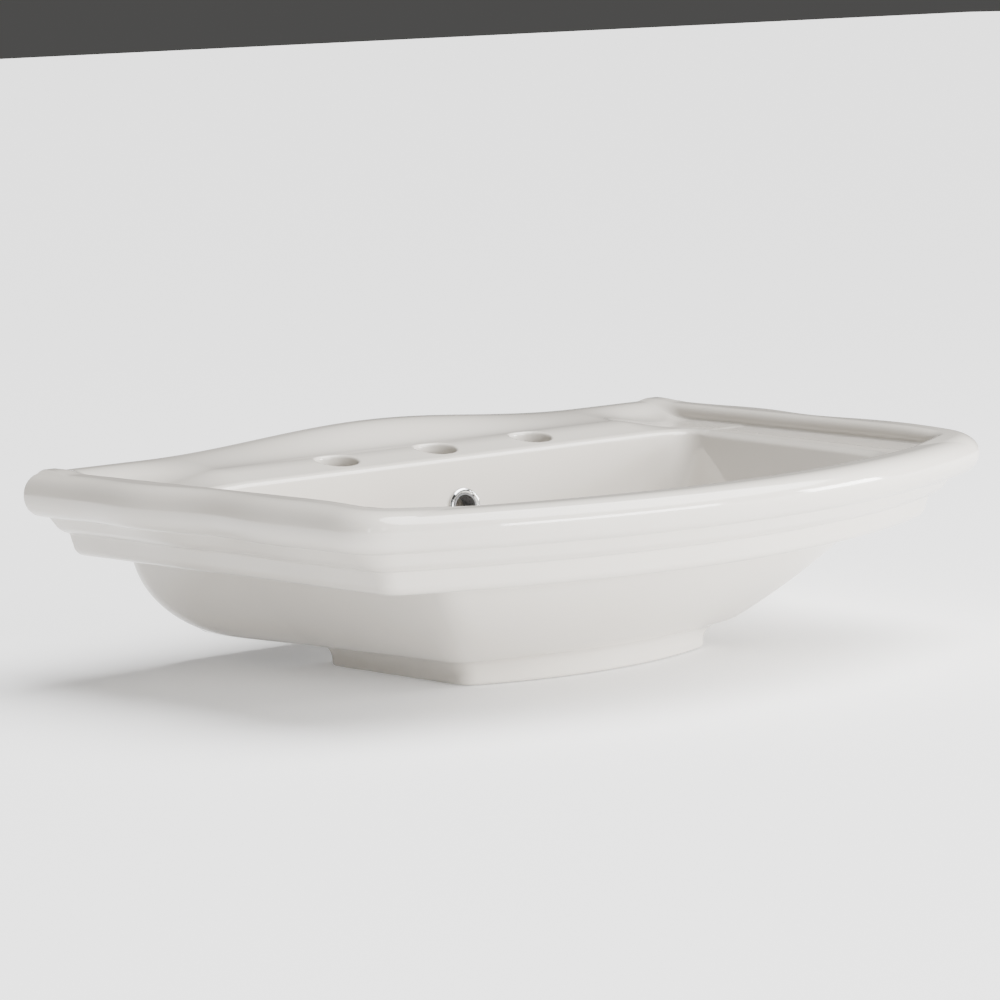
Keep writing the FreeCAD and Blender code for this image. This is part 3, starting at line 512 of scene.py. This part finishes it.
def add_bump(tree, shader, source, strength, distance):
    bump = tree.nodes.new("ShaderNodeBump")
    bump.inputs["Strength"].default_value = strength
    bump.inputs["Distance"].default_value = distance
    tree.links.new(source, bump.inputs["Height"])
    tree.links.new(bump.outputs["Normal"], shader.inputs["Normal"])


def china_material():
    """Warm white glaze, with bare fired clay on the wall face and under the foot."""
    material, tree, shader = new_material("china_glaze", (0.68, 0.665, 0.64), roughness=0.1)
    shader.inputs["IOR"].default_value = 1.52
    shader.inputs["Coat Weight"].default_value = 0.35
    shader.inputs["Coat Roughness"].default_value = 0.03
    links = tree.links
    glaze = tint(tree, noise(tree, 7.0), (0.615, 0.578, 0.523), (0.64, 0.606, 0.553))
    clay = tint(tree, noise(tree, 900.0, 4.0), (0.60, 0.57, 0.52), (0.70, 0.67, 0.62))
    place = tree.nodes.new("ShaderNodeTexCoord")
    parts = tree.nodes.new("ShaderNodeSeparateXYZ")
    links.new(place.outputs["Object"], parts.inputs["Vector"])
    wall = math_node(tree, "GREATER_THAN", parts.outputs["Y"], (WALL_Y - 1.2) * MM)
    under = math_node(tree, "LESS_THAN", parts.outputs["Z"], 1.0 * MM)
    bare = math_node(tree, "MAXIMUM", wall, under)
    colour = tree.nodes.new("ShaderNodeMix")
    colour.data_type = "RGBA"
    links.new(bare, colour.inputs["Factor"])
    links.new(glaze, colour.inputs["A"])
    links.new(clay, colour.inputs["B"])
    links.new(colour.outputs["Result"], shader.inputs["Base Color"])
    shine = spread_to(tree, noise(tree, 25.0), 0.07, 0.13)
    rough = tree.nodes.new("ShaderNodeMix")
    links.new(bare, rough.inputs["Factor"])
    links.new(shine, rough.inputs["A"])
    rough.inputs["B"].default_value = 0.85
    links.new(rough.outputs["Result"], shader.inputs["Roughness"])
    add_bump(tree, shader, noise(tree, 120.0, 2.0), 0.06, 0.0006)
    return material


def metal_material(name, colour, roughness, squash=(1.0, 1.0, 1.0), grain=400.0, strength=0.05):
    """Plated or drawn metal with fine tool marks."""
    material, tree, shader = new_material(name, colour, metallic=1.0, roughness=roughness)
    marks = noise(tree, grain, 4.0, squash)
    shine = spread_to(tree, marks, 0.7 * roughness, 1.4 * roughness)
    tree.links.new(shine, shader.inputs["Roughness"])
    add_bump(tree, shader, marks, strength, 0.0002)
    return material


def soft_material(name, colour, other, roughness, grain):
    """Rubber or moulded plastic with a faint grain."""
    material, tree, shader = new_material(name, colour, roughness=roughness)
    marks = noise(tree, grain, 3.0)
    tree.links.new(tint(tree, marks, colour, other), shader.inputs["Base Color"])
    shine = spread_to(tree, marks, 0.85 * roughness, 1.15 * roughness)
    tree.links.new(shine, shader.inputs["Roughness"])
    add_bump(tree, shader, marks, 0.1, 0.0002)
    return material


china = show("china_basin", china_mesh(), "basin")
china.data.materials.append(china_material())

chrome = metal_material("chrome", (0.82, 0.83, 0.84), 0.06, grain=300.0, strength=0.02)
steel = metal_material("steel", (0.58, 0.58, 0.59), 0.22, squash=(1.0, 1.0, 12.0))
brass = metal_material("brass", (0.72, 0.53, 0.25), 0.2, squash=(1.0, 1.0, 12.0))
rubber = soft_material("rubber", (0.025, 0.025, 0.026), (0.045, 0.045, 0.046), 0.6, 700.0)
plastic = soft_material("plastic", (0.74, 0.73, 0.70), (0.79, 0.78, 0.75), 0.38, 500.0)
dark_plastic = soft_material("dark_plastic", (0.09, 0.09, 0.095), (0.14, 0.14, 0.145), 0.3, 500.0)

# finish and material slot of each fitting
FINISHES = {
    "overflow_ring": (chrome, "ring_chrome"),
    "overflow_gasket": (rubber, "overflow_rubber"),
    "overflow_sleeve": (dark_plastic, "sleeve_plastic"),
    "waste_body": (chrome, "waste_brass"),
    "strainer": (chrome, "strainer_brass"),
    "flange_gasket": (rubber, "flange_rubber"),
    "bottom_gasket": (rubber, "gasket_rubber"),
    "slip_washer": (plastic, "washer_plastic"),
    "locknut": (brass, "nut_brass"),
    "stopper_cap": (chrome, "cap_chrome"),
    "stopper_seal": (rubber, "seal_rubber"),
    "plunger": (steel, "plunger_steel"),
    "latch_rotor": (plastic, "rotor_plastic"),
    "latch_sleeve": (brass, "latch_brass"),
    "latch_spring": (steel, "spring_steel"),
}
for node, (material, _) in FINISHES.items():
    target = frame["nodes"][node]
    for index in range(len(target.data.materials)):
        target.data.materials[index] = material


# ---------------------------------------------------------------- turned hardware

def rounded(corners):
    """Points and outward normals of a closed half profile of (radius, height, fillet) corners."""
    points, normals = [], []
    count = len(corners)
    for index, (radius, height, fillet) in enumerate(corners):
        here = np.array((radius, height))
        before = here - np.array(corners[index - 1][:2])
        after = np.array(corners[(index + 1) % count][:2]) - here
        length_in, length_out = np.linalg.norm(before), np.linalg.norm(after)
        before, after = before / length_in, after / length_out
        bend = math.acos(max(-1.0, min(1.0, float(before @ after))))
        reach = min(fillet * math.tan(bend / 2.0), 0.45 * length_in, 0.45 * length_out)
        start, end = here - before * reach, here + after * reach
        first = math.atan2(-before[0], before[1])
        change = math.atan2(before[0] * after[1] - before[1] * after[0], float(before @ after))
        for step in range(7):
            share = step / 6.0
            angle = first + change * share
            points.append((1 - share) ** 2 * start + 2 * share * (1 - share) * here
                          + share ** 2 * end)
            normals.append((math.cos(angle), math.sin(angle)))
    return np.array(points), np.array(normals)


def turned_piece(node, corners, place, tilt=0.0, solid=False):
    """A turned piece with soft edges in place of a CAD node; solid ones run in to the axis."""
    points, normals = rounded(corners)
    if solid:
        points, normals = points[6:-6], normals[6:-6]
    sides, rings = 128, len(points)
    angle = 2.0 * math.pi * np.arange(sides) / sides
    across, along = np.cos(angle)[:, None], np.sin(angle)[:, None]
    spots = np.stack([across * points[:, 0], along * points[:, 0],
                      np.ones_like(across) * points[:, 1]], axis=2)
    facing = np.stack([across * normals[:, 0], along * normals[:, 0],
                       np.ones_like(across) * normals[:, 1]], axis=2)
    faces = []
    for side in range(sides):
        low, high = side * rings, ((side + 1) % sides) * rings
        for ring in range(rings - 1 if solid else rings):
            above = (ring + 1) % rings
            faces.append((low + ring, high + ring, high + above, low + above))
    if solid:
        faces.append([side * rings for side in reversed(range(sides))])
        faces.append([side * rings + rings - 1 for side in range(sides)])
    mesh = smooth_mesh(node + "_turned", spots, faces, FINISHES[node][0])
    mesh.normals_split_custom_set_from_vertices(facing.reshape(-1, 3).astype(np.float32))
    show(node + "_turned", mesh, node, place, tilt)


overflow_place = (0.0, WALL_Y - overflow_back(OVERFLOW_DROP), RIM_HEIGHT - OVERFLOW_DROP)
facing_user = math.pi / 2.0 - BOWL_TILT
waste_y = WALL_Y - WASTE_DEPTH
turned_piece("overflow_ring", [
    (11.6, 0.8, 0.3), (15.7, 0.8, 0.3), (15.7, 2.0, 1.4),
    (14.4, 3.2, 1.2), (12.9, 3.2, 1.0), (11.6, 2.1, 0.8),
], overflow_place, facing_user)
turned_piece("stopper_cap", [
    (0.3, 0.0, 0.1), (28.6, 0.0, 0.5), (29.5, 0.9, 0.6), (29.5, 1.8, 0.8), (27.8, 2.9, 2.0),
    (20.5, 3.9, 20.0), (9.5, 4.6, 20.0), (0.3, 4.6, 0.1),
], (0.0, waste_y, 61.6), solid=True)
turned_piece("stopper_seal", [
    (8.0, 0.0, 0.3), (21.0, 0.0, 0.8), (22.0, 1.0, 0.6), (22.0, 2.0, 0.3), (8.0, 2.0, 0.3),
], (0.0, waste_y, 59.6))
turned_piece("bottom_gasket", [
    (20.95, 0.0, 0.4), (30.45, 0.0, 0.8), (30.45, 2.0, 1.2), (25.95, 5.0, 1.2), (20.95, 5.0, 0.4),
], (0.0, waste_y, 23.0))
turned_piece("slip_washer", [
    (20.95, 0.0, 0.2), (29.45, 0.0, 0.5), (29.45, 1.5, 0.5), (20.95, 1.5, 0.2),
], (0.0, waste_y, 21.5))
turned_piece("flange_gasket", [
    (21.15, 0.0, 0.2), (31.5, 0.0, 0.5), (31.5, 1.5, 0.5), (21.15, 1.5, 0.2),
], (0.0, waste_y, 47.5))


def spring_piece(low, high, radius, wire, turns):
    """A coil spring whose end turns lie closer together."""
    steps, sides = int(48 * turns), 12
    share = np.arange(steps + 1) / steps
    turn = 2.0 * math.pi * turns * share
    height = low + (high - low) * (share - 0.1 * np.sin(2.0 * math.pi * share))
    around = 2.0 * math.pi * np.arange(sides) / sides
    reach = radius + wire * np.cos(around)[None, :]
    spots = np.stack([reach * np.cos(turn)[:, None], reach * np.sin(turn)[:, None],
                      height[:, None] + wire * np.sin(around)[None, :]], axis=2)
    faces = [tuple(range(sides)), tuple(reversed(range(steps * sides, (steps + 1) * sides)))]
    for step in range(steps):
        for side in range(sides):
            here, beside = step * sides + side, step * sides + (side + 1) % sides
            faces.append((here, here + sides, beside + sides, beside))
    mesh = smooth_mesh("latch_spring_turned", spots, faces, steel)
    piece = show("latch_spring_turned", mesh, "latch_spring", (0.0, waste_y, 0.0))
    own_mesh(piece)


spring_piece(8.02, 23.48, 4.6, 0.4, 6.0)
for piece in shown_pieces():
    node = piece.name.replace("_turned", "")


# ---------------------------------------------------------------- floor, light and camera

def add_floor():
    """A pale floor, just clear of the foot's underside."""
    half, low = 30.0, -0.0004
    corners = [(-half, -half, low), (half, -half, low), (half, half, low), (-half, half, low)]
    mesh = bpy.data.meshes.new("floor")
    mesh.from_pydata(corners, [], [(0, 1, 2, 3)])
    floor = bpy.data.objects.new("floor", mesh)
    bpy.context.scene.collection.objects.link(floor)
    material, tree, shader = new_material("floor_paper", (0.92, 0.92, 0.92), roughness=0.9)
    shader.inputs["Emission Color"].default_value = (1.0, 1.0, 1.0, 1.0)
    shader.inputs["Emission Strength"].default_value = 0.18
    mesh.materials.append(material)


def add_softbox(name, place, aim, size, watts):
    """A rectangular light at one place, turned to face another."""
    data = bpy.data.lights.new(name, "AREA")
    data.shape = "RECTANGLE"
    data.size, data.size_y = size
    data.energy = watts
    lamp = bpy.data.objects.new(name, data)
    lamp.location = place
    lamp.rotation_euler = (Vector(aim) - Vector(place)).to_track_quat("-Z", "Y").to_euler()
    bpy.context.scene.collection.objects.link(lamp)


def add_camera():
    """Long lens at the left front, a little above the rim, with a slight roll."""
    data = bpy.data.cameras.new("camera")
    data.lens = 152.01
    data.clip_end = 100.0
    camera = bpy.data.objects.new("camera", data)
    bpy.context.scene.collection.objects.link(camera)
    turn, tilt, roll = math.radians(-38.0), math.radians(7.041), math.radians(-2.183)
    back = Vector((math.sin(turn) * math.cos(tilt), -math.cos(turn) * math.cos(tilt), math.sin(tilt)))
    right = Vector((math.cos(turn), math.sin(turn), 0.0))
    up = back.cross(right)
    across = right * math.cos(roll) + up * math.sin(roll)
    upward = up * math.cos(roll) - right * math.sin(roll)
    matrix = Matrix((across, upward, back)).transposed().to_4x4()
    matrix.translation = Vector((-2.1122, -2.6284, 0.5501))
    camera.matrix_world = matrix
    bpy.context.scene.camera = camera


def add_sun(tilt_right, tilt_front, strength, spread):
    """Broad, even light from above; the tilts lean it to the right and to the front."""
    data = bpy.data.lights.new("sky", "SUN")
    data.energy = strength
    data.angle = math.radians(spread)
    lamp = bpy.data.objects.new("sky", data)
    lamp.rotation_euler = Vector((-tilt_right, tilt_front, -1.0)).to_track_quat("-Z", "Y").to_euler()
    bpy.context.scene.collection.objects.link(lamp)


world = bpy.data.worlds.new("studio")
world.use_nodes = True
world.node_tree.nodes["Background"].inputs["Color"].default_value = (1.0, 0.99, 0.97, 1.0)
world.node_tree.nodes["Background"].inputs["Strength"].default_value = 0.08
bpy.context.scene.world = world
add_floor()
add_sun(0.4, 0.3, 8.8, 60.0)
add_softbox("front", (0.5, -3.2, 0.4), (0.0, 0.0, 0.06), (2.2, 0.9), 185.0)
add_softbox("right", (2.2, -1.5, 0.5), (0.2, -0.1, 0.08), (0.9, 0.8), 95.0)
add_softbox("bowl_glint", (-1.9, -0.9, 0.75), (0.1, 0.1, 0.1), (0.1, 0.9), 2.5)
add_softbox("strip", (-1.5, -1.6, 1.3), (0.1, 0.0, 0.1), (0.2, 1.3), 5.0)
add_camera()
